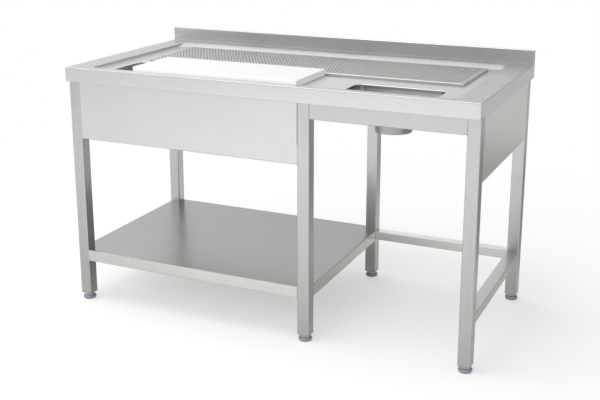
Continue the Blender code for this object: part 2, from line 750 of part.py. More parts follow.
leg_places = (
    ("front_left", LEFT_LEG_X, FRONT_LEG_Y, full_leg),
    ("front_mid", MID_LEG_X, FRONT_LEG_Y, recess_leg),
    ("front_right", RIGHT_LEG_X, FRONT_LEG_Y, full_leg),
    ("rear_left", LEFT_LEG_X, REAR_LEG_Y, full_leg),
    ("rear_mid", MID_LEG_X, REAR_LEG_Y, full_leg),
    ("rear_right", RIGHT_LEG_X, REAR_LEG_Y, full_leg),
)
for corner_name, leg_x, leg_y, leg_mesh in leg_places:
    leg = place("leg_" + corner_name, leg_mesh, SATIN_TUBE, None, (leg_x, leg_y, LEG_BOTTOM))
    place("insert_" + corner_name, insert_mesh, GREY_PLASTIC, leg)
    pad = place("foot_pad_" + corner_name, pad_mesh, BLUE_GREY_PLASTIC, leg, (0, 0, -LEG_BOTTOM))
    smooth(pad)
    screw = place("foot_screw_" + corner_name, screw_mesh, BLUE_GREY_METAL, pad)
    smooth(screw)

# Aprons and the front rail: a face between the legs with a fold at the top and the bottom


def apron(name, across, inwards, low, high, axis, height):
    """A folded face at across, its folds turned inwards, from low to high along the axis."""
    bottom = EDGE_BOTTOM - height
    fold = across + inwards * APRON_FLANGE
    path = [(fold, bottom), (across, bottom), (across, UNDER_RIM), (fold, UNDER_RIM)]
    if inwards < 0:
        path.reverse()
    bent(place(name, folded(path, low, high, axis, name), SATIN_SHEET))


front_face = FRONT + LEG_FRONT
rear_face = REAR - LEG_REAR
left_face = LEFT + LEG_OUTSET
right_face = RIGHT - LEG_OUTSET
left_bay_low = LEFT_LEG_X + HALF_LEG + GAP
left_bay_high = MID_LEG_X - HALF_LEG - GAP
right_bay_low = MID_LEG_X + HALF_LEG + GAP
right_bay_high = RIGHT_LEG_X - HALF_LEG - GAP
side_low = FRONT_LEG_Y + HALF_LEG + GAP
side_high = REAR_LEG_Y - HALF_LEG - GAP

apron("front_apron", front_face, 1, left_bay_low, left_bay_high, "X", APRON_HEIGHT)
apron("front_rail", front_face, 1, right_bay_low, right_bay_high, "X", FRONT_RAIL_HEIGHT)
apron("rear_apron_left", rear_face, -1, left_bay_low, left_bay_high, "X", APRON_HEIGHT)
apron("rear_apron_right", rear_face, -1, right_bay_low, right_bay_high, "X", APRON_HEIGHT)
apron("side_apron_left", left_face, 1, side_low, side_high, "Y", APRON_HEIGHT)
apron("side_apron_right", right_face, -1, side_low, side_high, "Y", APRON_HEIGHT)

# Lower rails of the right bay

rail_z = RAIL_TOP - RAIL_HEIGHT / 2
rear_rail_mesh = square_tube(LEG_SIZE, RAIL_HEIGHT, right_bay_low, right_bay_high, "rear_lower_rail", "X")
place("rear_lower_rail", rear_rail_mesh, SATIN_TUBE, None, (0, REAR_LEG_Y, rail_z))
side_rail_mesh = square_tube(RAIL_HEIGHT, LEG_SIZE, side_low, side_high, "side_lower_rail", "Y")
place("side_lower_rail", side_rail_mesh, SATIN_TUBE, None, (RIGHT_LEG_X, 0, rail_z))

# Bearer between the middle legs, under the drain pan

bearer_z = pan_low - SHEET - GAP - BEARER_HEIGHT / 2
bearer_mesh = square_tube(BEARER_HEIGHT, BEARER_WIDTH, side_low, side_high, "mid_bearer", "Y")
place("mid_bearer", bearer_mesh, SATIN_TUBE, None, (MID_LEG_X, 0, bearer_z))

# Lower shelf, notched round its four legs, with folded edges


def shelf_mesh():
    shape = bmesh.new()
    notch = LEG_SIZE + GAP
    low_x = left_face
    high_x = MID_LEG_X + HALF_LEG
    low_y = front_face
    high_y = rear_face
    outline = [
        (low_x + notch, low_y),
        (high_x - notch, low_y),
        (high_x - notch, low_y + notch),
        (high_x, low_y + notch),
        (high_x, high_y - notch),
        (high_x - notch, high_y - notch),
        (high_x - notch, high_y),
        (low_x + notch, high_y),
        (low_x + notch, high_y - notch),
        (low_x, high_y - notch),
        (low_x, low_y + notch),
        (low_x + notch, low_y + notch),
    ]
    top = [shape.verts.new((x, y, SHELF_TOP)) for x, y in outline]
    shape.faces.new(top)
    bottom = SHELF_TOP - SHELF_EDGE
    inwards = {0: (0, 1), 3: (-1, 0), 6: (0, -1), 9: (1, 0)}
    for start, (in_x, in_y) in inwards.items():
        upper = (top[start], top[start + 1])
        lower = [shape.verts.new((vert.co.x, vert.co.y, bottom)) for vert in upper]
        shift = Vector((in_x * SHELF_RETURN, in_y * SHELF_RETURN, 0))
        lip = [shape.verts.new(vert.co + shift) for vert in lower]
        shape.faces.new((upper[1], upper[0], lower[0], lower[1]))
        shape.faces.new((lower[1], lower[0], lip[0], lip[1]))
    return mesh_from(shape, "lower_shelf")


lower_shelf = place("lower_shelf", shelf_mesh(), SATIN_SHEET)
bent(lower_shelf)

stiffener_top = SHELF_TOP - SHEET - GAP
stiffener_low = stiffener_top - STIFFENER_HEIGHT
stiffener_left = left_face + BEND + GAP
stiffener_right = MID_LEG_X + HALF_LEG - BEND - GAP
shelf_span = side_high - side_low
for place_name, part_way in (("front", 1 / 3), ("rear", 2 / 3)):
    middle = side_low + shelf_span * part_way
    half_top = STIFFENER_WIDTH / 2 - STIFFENER_LIP
    half_all = STIFFENER_WIDTH / 2
    hat = [
        (middle - half_all, stiffener_top),
        (middle - half_top, stiffener_top),
        (middle - half_top, stiffener_low),
        (middle + half_top, stiffener_low),
        (middle + half_top, stiffener_top),
        (middle + half_all, stiffener_top),
    ]
    name = "shelf_stiffener_" + place_name
    hat_mesh = folded(hat, stiffener_left, stiffener_right, "X", name)
    bent(place(name, hat_mesh, DULL_SHEET, lower_shelf))
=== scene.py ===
from math import cos, pi, radians, sin, sqrt

import bmesh
import bpy
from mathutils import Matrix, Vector


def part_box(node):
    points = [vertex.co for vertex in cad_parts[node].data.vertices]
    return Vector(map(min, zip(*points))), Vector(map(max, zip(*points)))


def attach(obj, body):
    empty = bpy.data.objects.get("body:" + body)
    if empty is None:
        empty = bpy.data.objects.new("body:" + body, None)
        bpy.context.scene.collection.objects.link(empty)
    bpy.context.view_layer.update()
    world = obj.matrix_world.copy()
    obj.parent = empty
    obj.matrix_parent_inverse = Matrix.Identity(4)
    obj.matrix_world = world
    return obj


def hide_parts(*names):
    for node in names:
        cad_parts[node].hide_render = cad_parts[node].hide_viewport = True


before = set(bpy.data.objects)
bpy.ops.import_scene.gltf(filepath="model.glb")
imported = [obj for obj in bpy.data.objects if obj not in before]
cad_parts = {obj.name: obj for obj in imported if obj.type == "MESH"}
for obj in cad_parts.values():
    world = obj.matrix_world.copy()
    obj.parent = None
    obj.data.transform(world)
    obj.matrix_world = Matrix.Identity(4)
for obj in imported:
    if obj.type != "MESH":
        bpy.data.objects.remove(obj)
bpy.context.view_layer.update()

print("frame loaded")

# camera, pale floor and soft studio light

studio = {
    "cameraAt": (1.357, -2.995, 1.395),
    "cameraTurn": (75.22, 0.0, 24.48),
    "lens": 59.95,
    "shiftY": -0.08,
    "floorSize": 70.0,
    "floorDrop": 0.0005,
    "floorColour": (0.93, 0.925, 0.915),
    # the room floor that the steel mirrors: its tones, and the metres over which they change
    "floorNear": (0.74, 0.73, 0.71),
    "floorFar": (0.98, 0.985, 1.0),
    "floorReach": (0.5, 3.2),
    "floorBehind": (0.68, 0.68, 0.67),
    "behindFrom": (0.6, 2.2),
    "floorPatch": (0.30, 0.30, 0.29),
    "patchFrom": (0.3, 0.9),
    "patchEnd": (2.8, 2.0),
    "floorLeft": 0.78,
    "leftTurn": (0.4, 1.3),  # distance to the side over distance to the front
    "leftStart": -0.2,
    "sweep": (0.9, 2.2),
    "sweepLeast": 0.45,
    # the sky is plain to the camera; steel mirrors a room in it, with its own strength on each side
    "skyColour": (1.0, 1.0, 1.0),
    "skyFront": 0.66,
    "skyLevel": 0.62,
    "skyLean": 0.85,
    "skyLeast": 0.55,
    "skyMost": 1.4,
    "skyTurn": (-0.1, 0.5),
    "skyHeights": (
        (0.0, (0.82, 0.82, 0.83, 1)),
        (0.12, (0.86, 0.87, 0.88, 1)),
        (0.3, (0.64, 0.64, 0.64, 1)),
        (0.42, (1.15, 1.15, 1.15, 1)),
        (0.6, (1.6, 1.61, 1.63, 1)),
        (1.0, (0.65, 0.65, 0.65, 1)),
    ),
}

bpy.context.scene.view_settings.view_transform = "Standard"
bpy.ops.object.select_all(action="DESELECT")
bpy.ops.object.camera_add(
    location=studio["cameraAt"], rotation=[radians(turn) for turn in studio["cameraTurn"]]
)
camera = bpy.context.object
camera.name = "photo_camera"
camera.data.lens = studio["lens"]
camera.data.shift_y = studio["shiftY"]
camera.data.clip_end = 200
bpy.context.scene.camera = camera


def softLight(name, at, towards, width, height, power):
    bpy.ops.object.light_add(type="AREA", location=at)
    light = bpy.context.object
    light.name = name
    light.data.shape = "RECTANGLE"
    light.data.size = width
    light.data.size_y = height
    light.data.energy = power
    aim = Vector(towards) - Vector(at)
    light.rotation_euler = aim.to_track_quat("-Z", "Y").to_euler()
    return light


softLight("overhead_softbox", (-0.6, -0.6, 3.4), (0, 0, 0.6), 3.0, 2.2, 60)
softLight("left_softbox", (-3.6, -2.2, 2.2), (0, 0, 0.5), 2.2, 2.0, 30)
frontLight = softLight("front_softbox", (-0.6, -4.6, 2.9), (-0.2, -2.2, 0.0), 2.8, 1.8, 60)
frontLight.visible_glossy = False


# shader maths written as sums

class Wire:
    # one socket, so that sums on it read like sums on numbers
    def __init__(self, tree, socket):
        self.tree = tree
        self.socket = socket

    def reckon(self, operation, first, second=None):
        node = self.tree.nodes.new("ShaderNodeMath")
        node.operation = operation
        for index, value in enumerate((first, second)):
            if isinstance(value, Wire):
                self.tree.links.new(value.socket, node.inputs[index])
            elif value is not None:
                node.inputs[index].default_value = value
        return Wire(self.tree, node.outputs[0])

    def __add__(self, other):
        return self.reckon("ADD", self, other)

    def __sub__(self, other):
        return self.reckon("SUBTRACT", self, other)

    def __rsub__(self, other):
        return self.reckon("SUBTRACT", other, self)

    def __mul__(self, other):
        return self.reckon("MULTIPLY", self, other)

    def __abs__(self):
        return self.reckon("ABSOLUTE", self)

    def __gt__(self, other):
        return self.reckon("GREATER_THAN", self, other)

    def __lt__(self, other):
        return self.reckon("LESS_THAN", self, other)

    __radd__ = __add__
    __rmul__ = __mul__


class Finish:
    # one material, or the sky, and the nodes in it
    def __init__(self, name, sky=None):
        self.material = sky or bpy.data.materials.new(name)
        self.material.use_nodes = True
        self.tree = self.material.node_tree
        self.shader = self.tree.nodes["Background" if sky else "Principled BSDF"]
        self.whole = Wire(self.tree, self.shader.outputs[0])

    def node(self, kind, sockets=None, output=0, **settings):
        node = self.tree.nodes.new("ShaderNode" + kind)
        for index, (at, colour) in enumerate(settings.pop("stops", ())):
            elements = node.color_ramp.elements
            stop = elements[index] if index < len(elements) else elements.new(at)
            stop.position = at
            stop.color = colour
        for key, value in settings.items():
            setattr(node, key, value)
        for key, value in (sockets or {}).items():
            if isinstance(value, Wire):
                self.tree.links.new(value.socket, node.inputs[key])
            else:
                node.inputs[key].default_value = value
        return Wire(self.tree, node.outputs[output])

    def place(self):
        return self.node("TexCoord", output="Object")

    def parts(self, vector):
        return [self.node("SeparateXYZ", {"Vector": vector}, output=axis) for axis in range(3)]

    def facing(self):
        return self.parts(self.node("TexCoord", output="Normal"))

    def noise(self, scale, stretch=(1, 1, 1), detail=2.0, rough=0.5, shift=(0, 0, 0)):
        spot = self.node("Mapping", {"Vector": self.place(), "Scale": stretch, "Location": shift})
        return self.node(
            "TexNoise", {"Vector": spot, "Scale": scale, "Detail": detail, "Roughness": rough}
        )

    def span(self, value, start, end, low=0.0):
        # low up to start, 1 from end, and a smooth slope between
        return self.node(
            "MapRange",
            {"Value": value, "From Min": start, "From Max": end, "To Min": low, "To Max": 1.0},
            interpolation_type="SMOOTHSTEP",
        )

    def shade(self, amount, dark, light):
        # a colour between two, by an amount from 0 to 1
        dark, light = (part if isinstance(part, Wire) else (*part, 1) for part in (dark, light))
        return self.node("Mix", {0: amount, 6: dark, 7: light}, output=2, data_type="RGBA")

    def scaled(self, paint, share):
        return self.node("VectorMath", {0: paint, "Scale": share}, operation="SCALE")

    def bump(self, height, distance):
        return self.node("Bump", {"Strength": 1.0, "Distance": distance, "Height": height})

    def constant(self, **values):
        names = {"metallic": "Metallic", "ior": "IOR", "specular": "Specular IOR Level"}
        for key, value in values.items():
            self.shader.inputs[names[key]].default_value = value

    def wear(self, **values):
        names = {"colour": "Base Color", "roughness": "Roughness", "normal": "Normal"}
        for key, value in values.items():
            self.tree.links.new(value.socket, self.shader.inputs[names[key]])


def around(colour, change):
    # one colour a little darker, and a little lighter
    darker = [part * (1 - change) for part in colour]
    return darker, [min(1, part * (1 + change)) for part in colour]


def brushedSteel(
    name, along, colour, roughness, folded=False,
    spread=0.09, lines=0.05, fineBump=0.00001, topColour=None, paintedLightShares=None,
):
    # satin sheet: fine belt lines, longer faint streaks, and slow cloudy patches
    # the lines follow the axis named along, and Y on the left and right faces of a folded sheet
    finish = Finish(name)
    finish.constant(metallic=1.0)
    sideways, _, upwards = finish.facing()

    def grain(axis, scale, length, shift):
        # noise drawn out along one axis, as abrasive belts leave it
        stretch = [1 / length if letter == axis else 1 for letter in "XYZ"]
        return finish.noise(scale, stretch, rough=0.6, shift=shift)

    def lined(scale, length, shift=(0, 0, 0)):
        main = grain(along, scale, length, shift)
        if not folded:
            return main
        return main + (grain("Y", scale, length, shift) - main) * (abs(sideways) > 0.7)

    fine = lined(420, 90)
    broad = lined(90, 60, (3.1, 1.7, 2.3))
    cloud = finish.noise(3.2, detail=3.0)
    smear = finish.noise(11.0, detail=4.0, rough=0.6, shift=(5, 2, 7))
    tone = 0.5 + 0.9 * (broad - 0.5) + 0.5 * (fine - 0.5) + 0.5 * (cloud - 0.5)
    paint = finish.shade(tone, *around(colour, lines))
    if topColour:
        paint = finish.shade(upwards > 0.5, paint, finish.shade(tone, *around(topColour, lines)))
    # painted light and shade: at some places a sheet's colour is scaled up where light is painted
    # and down where shade is painted; heights and widths are in metres
    right, _, up = finish.parts(finish.place())
    paintedLightSpots = {
        "farLeft": lambda: finish.span(right, -0.46, -0.62) * (upwards > 0.9),
        "sides": lambda: abs(sideways) > 0.9,
        "upstand": lambda: finish.span(up, 0.8252, 0.8280),
        "recessFloor": lambda: finish.span(up, 0.8155, 0.8150) * (upwards > 0.9),
        "mouth": lambda: finish.span(up, 0.8030, 0.8060),
        "ends": lambda: finish.span(abs(sideways), 0.25, 0.60),
    }
    for spot, share in (paintedLightShares or {}).items():
        paint = finish.shade(paintedLightSpots[spot](), paint, finish.scaled(paint, share))
    finish.wear(
        colour=paint,
        roughness=roughness + (fine + broad + smear + cloud - 2.0) * spread,
        normal=finish.bump(fine + 2.0 * broad, fineBump),
    )
    return finish.material


def floorFinish():
    # plain and pale to the camera, and a greyer room floor to the steel that mirrors it
    finish = Finish("pale_floor")
    tone = finish.noise(0.7, detail=3.0)
    right, back, _ = finish.parts(finish.place())
    reach = finish.node("Math", {0: 0.5 * right * right + back * back}, operation="SQRT")
    mirrored = finish.shade(
        finish.span(reach, *studio["floorReach"]), studio["floorNear"], studio["floorFar"]
    )
    mirrored = finish.shade(
        finish.span(back, *studio["behindFrom"]), mirrored, studio["floorBehind"]
    )
    # a dark patch behind on the right
    begun = finish.span(back, *studio["patchFrom"]) * finish.span(back, *studio["patchEnd"])
    patch = begun * finish.span(right, *studio["patchFrom"])
    mirrored = finish.shade(patch, mirrored, studio["floorPatch"])
    # the floor in front gets darker towards the left
    turn = finish.node("Math", {0: right, 1: back}, operation="DIVIDE")
    leftFront = finish.span(turn, *studio["leftTurn"]) * (back < studio["leftStart"])
    mirrored = finish.shade(leftFront, mirrored, finish.scaled(mirrored, studio["floorLeft"]))
    base = studio["floorColour"]
    plain = finish.shade(tone, [part * 0.985 for part in base], base)
    seen = finish.node("LightPath", output="Is Camera Ray")
    finish.wear(colour=finish.shade(seen, mirrored, plain), roughness=0.75 + 0.1 * (tone - 0.5))
    finish.constant(specular=0.2)
    # painted light: further out it runs into a glowing white sweep, and near the table the glow
    # still makes up part of the floor, which lightens the table's shadow
    white = finish.node("Emission", {"Color": (*studio["skyColour"], 1), "Strength": 1.0})
    amount = seen * finish.span(reach, *studio["sweep"], studio["sweepLeast"])
    sweep = finish.node("MixShader", {0: amount, 1: finish.whole, 2: white})
    finish.tree.links.new(sweep.socket, finish.tree.nodes["Material Output"].inputs["Surface"])
    return finish.material


def paintSky(world):
    # white to the camera, and a room with a bright upper part to what mirrors it
    finish = Finish("studio_white", world)
    right, back, up = finish.parts(finish.node("TexCoord", output="Generated"))
    height = finish.node("ValToRGB", {"Fac": up}, stops=studio["skyHeights"])
    leaning = studio["skyLevel"] - studio["skyLean"] * right
    behind = finish.node(
        "Clamp", {"Value": leaning, "Min": studio["skyLeast"], "Max": studio["skyMost"]}
    )
    front = studio["skyFront"]
    strength = front + (behind - front) * finish.span(back, *studio["skyTurn"])
    seen = finish.node("LightPath", output="Is Camera Ray")
    colour = finish.shade(seen, finish.scaled(height, strength), studio["skyColour"])
    finish.tree.links.new(colour.socket, finish.shader.inputs["Color"])
    finish.shader.inputs["Strength"].default_value = 1.0


bpy.ops.mesh.primitive_plane_add(size=studio["floorSize"], location=(0, 0, -studio["floorDrop"]))
floor = bpy.context.object
floor.name = "studio_floor"
floor.data.materials.append(floorFinish())
bpy.context.scene.world = bpy.data.worlds.new("studio_white")
paintSky(bpy.context.scene.world)
print("studio ready")


# modelling helpers

def deselectAll():
    active = bpy.context.view_layer.objects.active
    if active and active.mode != "OBJECT":
        bpy.ops.object.mode_set(mode="OBJECT")
    bpy.ops.object.select_all(action="DESELECT")


def chosen(piece):
    deselectAll()
    piece.select_set(True)
    bpy.context.view_layer.objects.active = piece


def openUp(piece):
    chosen(piece)
    bpy.ops.object.mode_set(mode="EDIT")


def closeUp():
    bpy.ops.object.mode_set(mode="OBJECT")


def settle(name):
    piece = bpy.context.object
    bpy.ops.object.transform_apply(location=True, rotation=True, scale=True)
    piece.name = name
    piece.data.name = name
    return piece


def startBlock(name, low, high):
    deselectAll()
    low, high = Vector(low), Vector(high)
    bpy.ops.mesh.primitive_cube_add(size=1, location=(low + high) / 2, scale=high - low)
    return settle(name)


def startSheet(name, low, high, z):
    deselectAll()
    middle = ((low[0] + high[0]) / 2, (low[1] + high[1]) / 2, z)
    bpy.ops.mesh.primitive_plane_add(size=1, location=middle)
    bpy.context.object.scale = (high[0] - low[0], high[1] - low[1], 1)
    return settle(name)


def copied(piece, name, move):
    chosen(piece)
    bpy.ops.object.duplicate(linked=False)
    bpy.context.object.location = move
    return settle(name)


def joinTo(piece, others):
    chosen(piece)
    for other in others:
        other.select_set(True)
    bpy.ops.object.join()


def applied(piece, modifier):
    # makes a modifier part of the mesh
    chosen(piece)
    bpy.ops.object.modifier_apply(modifier=modifier.name)


def repeated(piece, number, offset):
    # a row of merged copies
    repeat = piece.modifiers.new("repeat", "ARRAY")
    repeat.count = number
    repeat.use_relative_offset = False
    repeat.use_constant_offset = True
    repeat.constant_offset_displace = offset
    repeat.use_merge_vertices = True
    repeat.merge_threshold = 0.00005
    applied(piece, repeat)


def middleOf(part):
    if isinstance(part, bmesh.types.BMVert):
        return part.co
    if isinstance(part, bmesh.types.BMEdge):
        return (part.verts[0].co + part.verts[1].co) / 2
    return part.calc_center_median()


def near(a, b, slack=0.00002):
    return abs(a - b) < slack


def isWithin(at, outline):
    left, right, fore, aft = outline
    return left < at.x < right and fore < at.y < aft


def isOpen(edge):
    return edge.is_boundary or edge.is_wire


def isFold(edge):
    return edge.is_manifold and edge.calc_face_angle(0) > 1.0


def runsAlong(edge, axis):
    line = (edge.verts[1].co - edge.verts[0].co).normalized()
    return abs(line[axis]) > 0.999


def pick(piece, kind, rule):
    # selects the faces, edges or corners of the open piece that a rule names
    bpy.ops.mesh.select_mode(type=kind)
    bpy.ops.mesh.select_all(action="DESELECT")
    shape = bmesh.from_edit_mesh(piece.data)
    shape.normal_update()
    for part in {"VERT": shape.verts, "EDGE": shape.edges, "FACE": shape.faces}[kind]:
        if rule(part, middleOf(part)):
            part.select_set(True)
    bmesh.update_edit_mesh(piece.data)


def pickAll():
    bpy.ops.mesh.select_all(action="SELECT")


def removeFaces(piece, rule):
    # the faces go, and the edges round them stay
    pick(piece, "FACE", rule)
    bpy.ops.mesh.delete(type="ONLY_FACE")


def fillFlat(piece, z, rule, slack=0.00002):
    # fills an outline of edges at one height, with the new faces looking up
    pick(piece, "EDGE", lambda edge, at: near(at.z, z, slack) and rule(edge, at))
    bpy.ops.mesh.fill(use_beauty=True)
    pick(piece, "FACE", lambda face, at: near(at.z, z, slack) and face.normal.z < 0)
    bpy.ops.mesh.flip_normals()


def turnOutwards():
    pickAll()
    bpy.ops.mesh.normals_make_consistent(inside=False)


def addRing(at, radius, corners):
    bpy.ops.mesh.primitive_circle_add(
        vertices=corners, radius=radius, fill_type="NOTHING", location=at
    )


def drawOut(move):
    bpy.ops.mesh.extrude_edges_move(TRANSFORM_OT_translate={"value": move})


def roundEdges(radius, segments):
    bpy.ops.mesh.bevel(offset=radius, segments=segments, affect="EDGES")


def roundCorners(radius, segments):
    bpy.ops.mesh.bevel(offset=radius, segments=segments, affect="VERTICES", profile=0.5)


def pressSteps(depth, lean, topRoll, footRoll, turns=4):
    # the (inwards, down) steps of a pressed wall: rolled edge, straight wall, rounded foot
    angle = radians(lean)
    rollDown = (topRoll + footRoll) * (1 - cos(angle))
    straight = (depth - rollDown) / sin(angle)

    def arc(radius):
        turned = [angle * n / turns for n in range(turns + 1)]
        return [
            (radius * (sin(end) - sin(start)), radius * (cos(start) - cos(end)))
            for start, end in zip(turned, turned[1:])
        ]

    steps = arc(topRoll) if topRoll else []
    steps.append((straight * cos(angle), straight * sin(angle)))
    if footRoll:
        steps += reversed(arc(footRoll))
    return steps


def pressIn(steps):
    for inwards, down in steps:
        bpy.ops.mesh.inset(
            thickness=max(inwards, 0.000001), depth=-down, use_even_offset=True
        )


def giveWall(piece, thickness):
    wall = piece.modifiers.new("wall", "SOLIDIFY")
    wall.thickness = thickness
    wall.offset = -1
    wall.use_even_offset = True
    applied(piece, wall)


def softened(piece, width, segments=2, angle=40):
    edge = piece.modifiers.new("edge", "BEVEL")
    edge.width = width
    edge.segments = segments
    edge.limit_method = "ANGLE"
    edge.angle_limit = radians(angle)
    applied(piece, edge)


def smoothed(piece, angle=30):
    chosen(piece)
    bpy.ops.object.shade_smooth_by_angle(angle=radians(angle))
    even = piece.modifiers.new("even_shading", "WEIGHTED_NORMAL")
    even.keep_sharp = True
    applied(piece, even)


sheetMetal = 0.0015
cutEdge = 0.0003  # taken off the sharp ends of tube


def finishSheet(piece):
    # an open surface becomes sheet metal, inwards from its outer face
    closeUp()
    giveWall(piece, sheetMetal)
    smoothed(piece)
    return piece


def clad(piece, material, body, nodes):
    piece.data.materials.clear()
    piece.data.materials.append(material)
    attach(piece, body)
    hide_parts(*nodes)


# worktop: one sheet with turned-down edges, an upstand, a pressed recess and three openings

worktopSize = {
    "foldRadius": 0.003,
    "edgeReturn": 0.011,
    "returnRadius": 0.0025,
    "upstand": 0.010,
    "rimTop": 0.825,
    # outlines are left, right, fore and aft
    "recess": (-0.622, 0.622, -0.316, 0.294),
    "recessCorner": 0.026,
    "recessDepth": 0.010,
    "recessLean": 81,
    "recessRoll": 0.002,
    "rearSlope": 0.044,
    "rearStrip": 0.04,
    "bowl": (-0.562, 0.098, -0.301, -0.099),
    "bowlCorner": 0.040,
    "pan": (-0.527, 0.559, -0.067, 0.196),
    "panCorner": 0.020,
    "trough": (0.264, 0.552, -0.300, -0.174),
    "troughCorner": 0.025,
    "lip": 0.0016,
}


def makeWorktop():
    size = worktopSize
    low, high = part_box("worktop")
    top = size["rimTop"]
    piece = startBlock("worktop_sheet", low, (high.x, high.y, top))
    openUp(piece)
    removeFaces(piece, lambda face, at: near(at.z, low.z))
    upstandFace = high.y - size["upstand"]
    pickAll()
    bpy.ops.mesh.bisect(plane_co=(0, upstandFace, 0), plane_no=(0, 1, 0))
    pick(piece, "FACE", lambda face, at: near(at.z, top) and at.y > upstandFace)
    bpy.ops.mesh.extrude_region_move(TRANSFORM_OT_translate={"value": (0, 0, high.z - top)})

    # the large top face gets the outline of the recess
    left, right, fore, aft = size["recess"]
    margin = 0.05
    pick(piece, "FACE", lambda face, at: near(at.z, top) and face.calc_area() > 0.5)
    bpy.ops.mesh.inset(thickness=margin, depth=0)
    for axis, old, new in (
        (0, low.x + margin, left),
        (0, high.x - margin, right),
        (1, low.y + margin, fore),
        (1, upstandFace - margin, aft),
    ):
        pick(piece, "VERT", lambda vert, at: near(at.z, top) and near(at[axis], old))
        move = [0, 0, 0]
        move[axis] = new - old
        bpy.ops.transform.translate(value=move)

    def recessCorner(vert, at):
        sideways = near(at.x, left) or near(at.x, right)
        return near(at.z, top) and sideways and (near(at.y, fore) or near(at.y, aft))

    pick(piece, "VERT", recessCorner)
    roundCorners(size["recessCorner"], 8)
    pick(piece, "FACE", lambda face, at: near(at.z, top) and face.calc_area() > 0.5)
    roll = size["recessRoll"]
    steps = pressSteps(size["recessDepth"], size["recessLean"], roll, roll)
    pressIn(steps)
    floor = top - size["recessDepth"]
    # the back wall lies back as a long slope
    height = top
    for _, down in steps:
        height -= down
        pick(
            piece, "VERT", lambda vert, at: near(at.z, height, 0.00005)
            and aft - size["rearStrip"] < at.y < aft + 0.0001,
        )
        forward = size["rearSlope"] * (top - height) / size["recessDepth"]
        bpy.ops.transform.translate(value=(0, -forward, 0))

    # the folds and the short corners are rounded, the edge returns turned in
    def outerFold(edge, at):
        if not isFold(edge) or at.z < low.z + 0.0001:
            return False
        if near(at.y, upstandFace):
            return not near(at.z, top)
        return near(abs(at.x), high.x) or near(at.y, low.y) or near(at.y, high.y)

    pick(piece, "EDGE", outerFold)
    roundEdges(size["foldRadius"], 4)
    pick(piece, "EDGE", lambda edge, at: edge.is_boundary and near(at.z, low.z, 0.0001))
    drawOut((0, 0, 0))
    width, depth, _ = high - low
    turnIn = 2 * size["edgeReturn"]
    bpy.ops.transform.resize(
        value=((width - turnIn) / width, (depth - turnIn) / depth, 1),
        center_override=((low.x + high.x) / 2, (low.y + high.y) / 2, low.z),
    )
    pick(piece, "EDGE", lambda edge, at: near(at.z, low.z) and isFold(edge))
    roundEdges(size["returnRadius"], 3)

    # openings in the floor, each with a rolled lip
    removeFaces(piece, lambda face, at: near(at.z, floor) and face.calc_area() > 0.5)
    lip = size["lip"]
    hardlyAny = 0.0000001  # the lip is all roll, with hardly any straight wall
    for name in ("bowl", "pan", "trough"):
        outline = size[name]
        left, right, fore, aft = outline
        middle = ((left + right) / 2, (fore + aft) / 2, floor)
        bpy.ops.mesh.primitive_plane_add(size=1, location=middle)
        bpy.ops.transform.resize(
            value=(right - left + 2 * lip, aft - fore + 2 * lip, 1), center_override=middle
        )
        roundCorners(size[name + "Corner"] + lip, 8)
        pick(piece, "FACE", lambda face, at: near(at.z, floor) and isWithin(at, outline))
        pressIn(pressSteps(lip + hardlyAny, 90, lip, 0))
        removeFaces(
            piece, lambda face, at: at.z < floor - lip / 2
            and face.calc_area() > 0.01 and isWithin(at, outline),
        )
    fillFlat(piece, floor, lambda edge, at: edge.is_boundary)
    return finishSheet(piece)


# painted shade on the far left of the top and on the upstand, painted light on the side faces and
# the recess floor
worktopSteel = brushedSteel(
    "worktop_satin_sheet", "X", (0.66, 0.66, 0.66), 0.30, folded=True,
    paintedLightShares={"farLeft": 0.83, "sides": 1.13, "upstand": 0.83, "recessFloor": 1.16},
)
worktop = makeWorktop()
clad(worktop, worktopSteel, "table", ["worktop"])
print("worktop made")

# basins: a flange under the worktop, a drawn wall and a rounded floor

basinSize = {
    "under": 0.8132,
    "flange": 0.009,
    "bowlDepth": 0.200,
    "bowlLean": 88.9,
    "bowlFoot": 0.016,
    "wasteAt": (-0.5017, -0.2),
    "seat": 0.040,
    "seatDrop": 0.004,
    "wasteHole": 0.0223,
    "troughDepth": 0.0852,
    "troughLean": 88.7,
    "troughFoot": 0.006,
    "outletAt": (0.408, -0.237),
    "outlet": 0.0545,
    "panDepth": 0.0302,
    "panFoot": 0.004,
    "panFallLeft": 0.013,
    "panFallFront": 0.003,
}


def makeBasin(title, name, steps):
    left, right, fore, aft = worktopSize[name]
    flange, under = basinSize["flange"], basinSize["under"]
    piece = startSheet(title, (left - flange, fore - flange), (right + flange, aft + flange), under)
    openUp(piece)
    pick(piece, "VERT", lambda vert, at: True)
    roundCorners(worktopSize[name + "Corner"] + flange, 10)
    pick(piece, "FACE", lambda face, at: True)
    pressIn([(flange, 0)] + steps)
    return piece


def floorHole(piece, x, y, z, radius, segments):
    # the flat floor makes way for a round opening with a clean ring of corners
    slack = 0.0001
    removeFaces(piece, lambda face, at: near(at.z, z, slack) and face.calc_area() > 0.005)
    addRing((x, y, z), radius, segments)
    fillFlat(piece, z, lambda edge, at: isOpen(edge), slack)
    pick(piece, "EDGE", lambda edge, at: edge.is_boundary and near(at.z, z, slack))


def stepRings(x, y, z, rings):
    # each ring is drawn out of the last: (radius, height above z)
    for (radius, height), (nextRadius, nextHeight) in zip(rings, rings[1:]):
        drawOut((0, 0, nextHeight - height))
        growth = nextRadius / radius
        bpy.ops.transform.resize(value=(growth, growth, 1), center_override=(x, y, z))


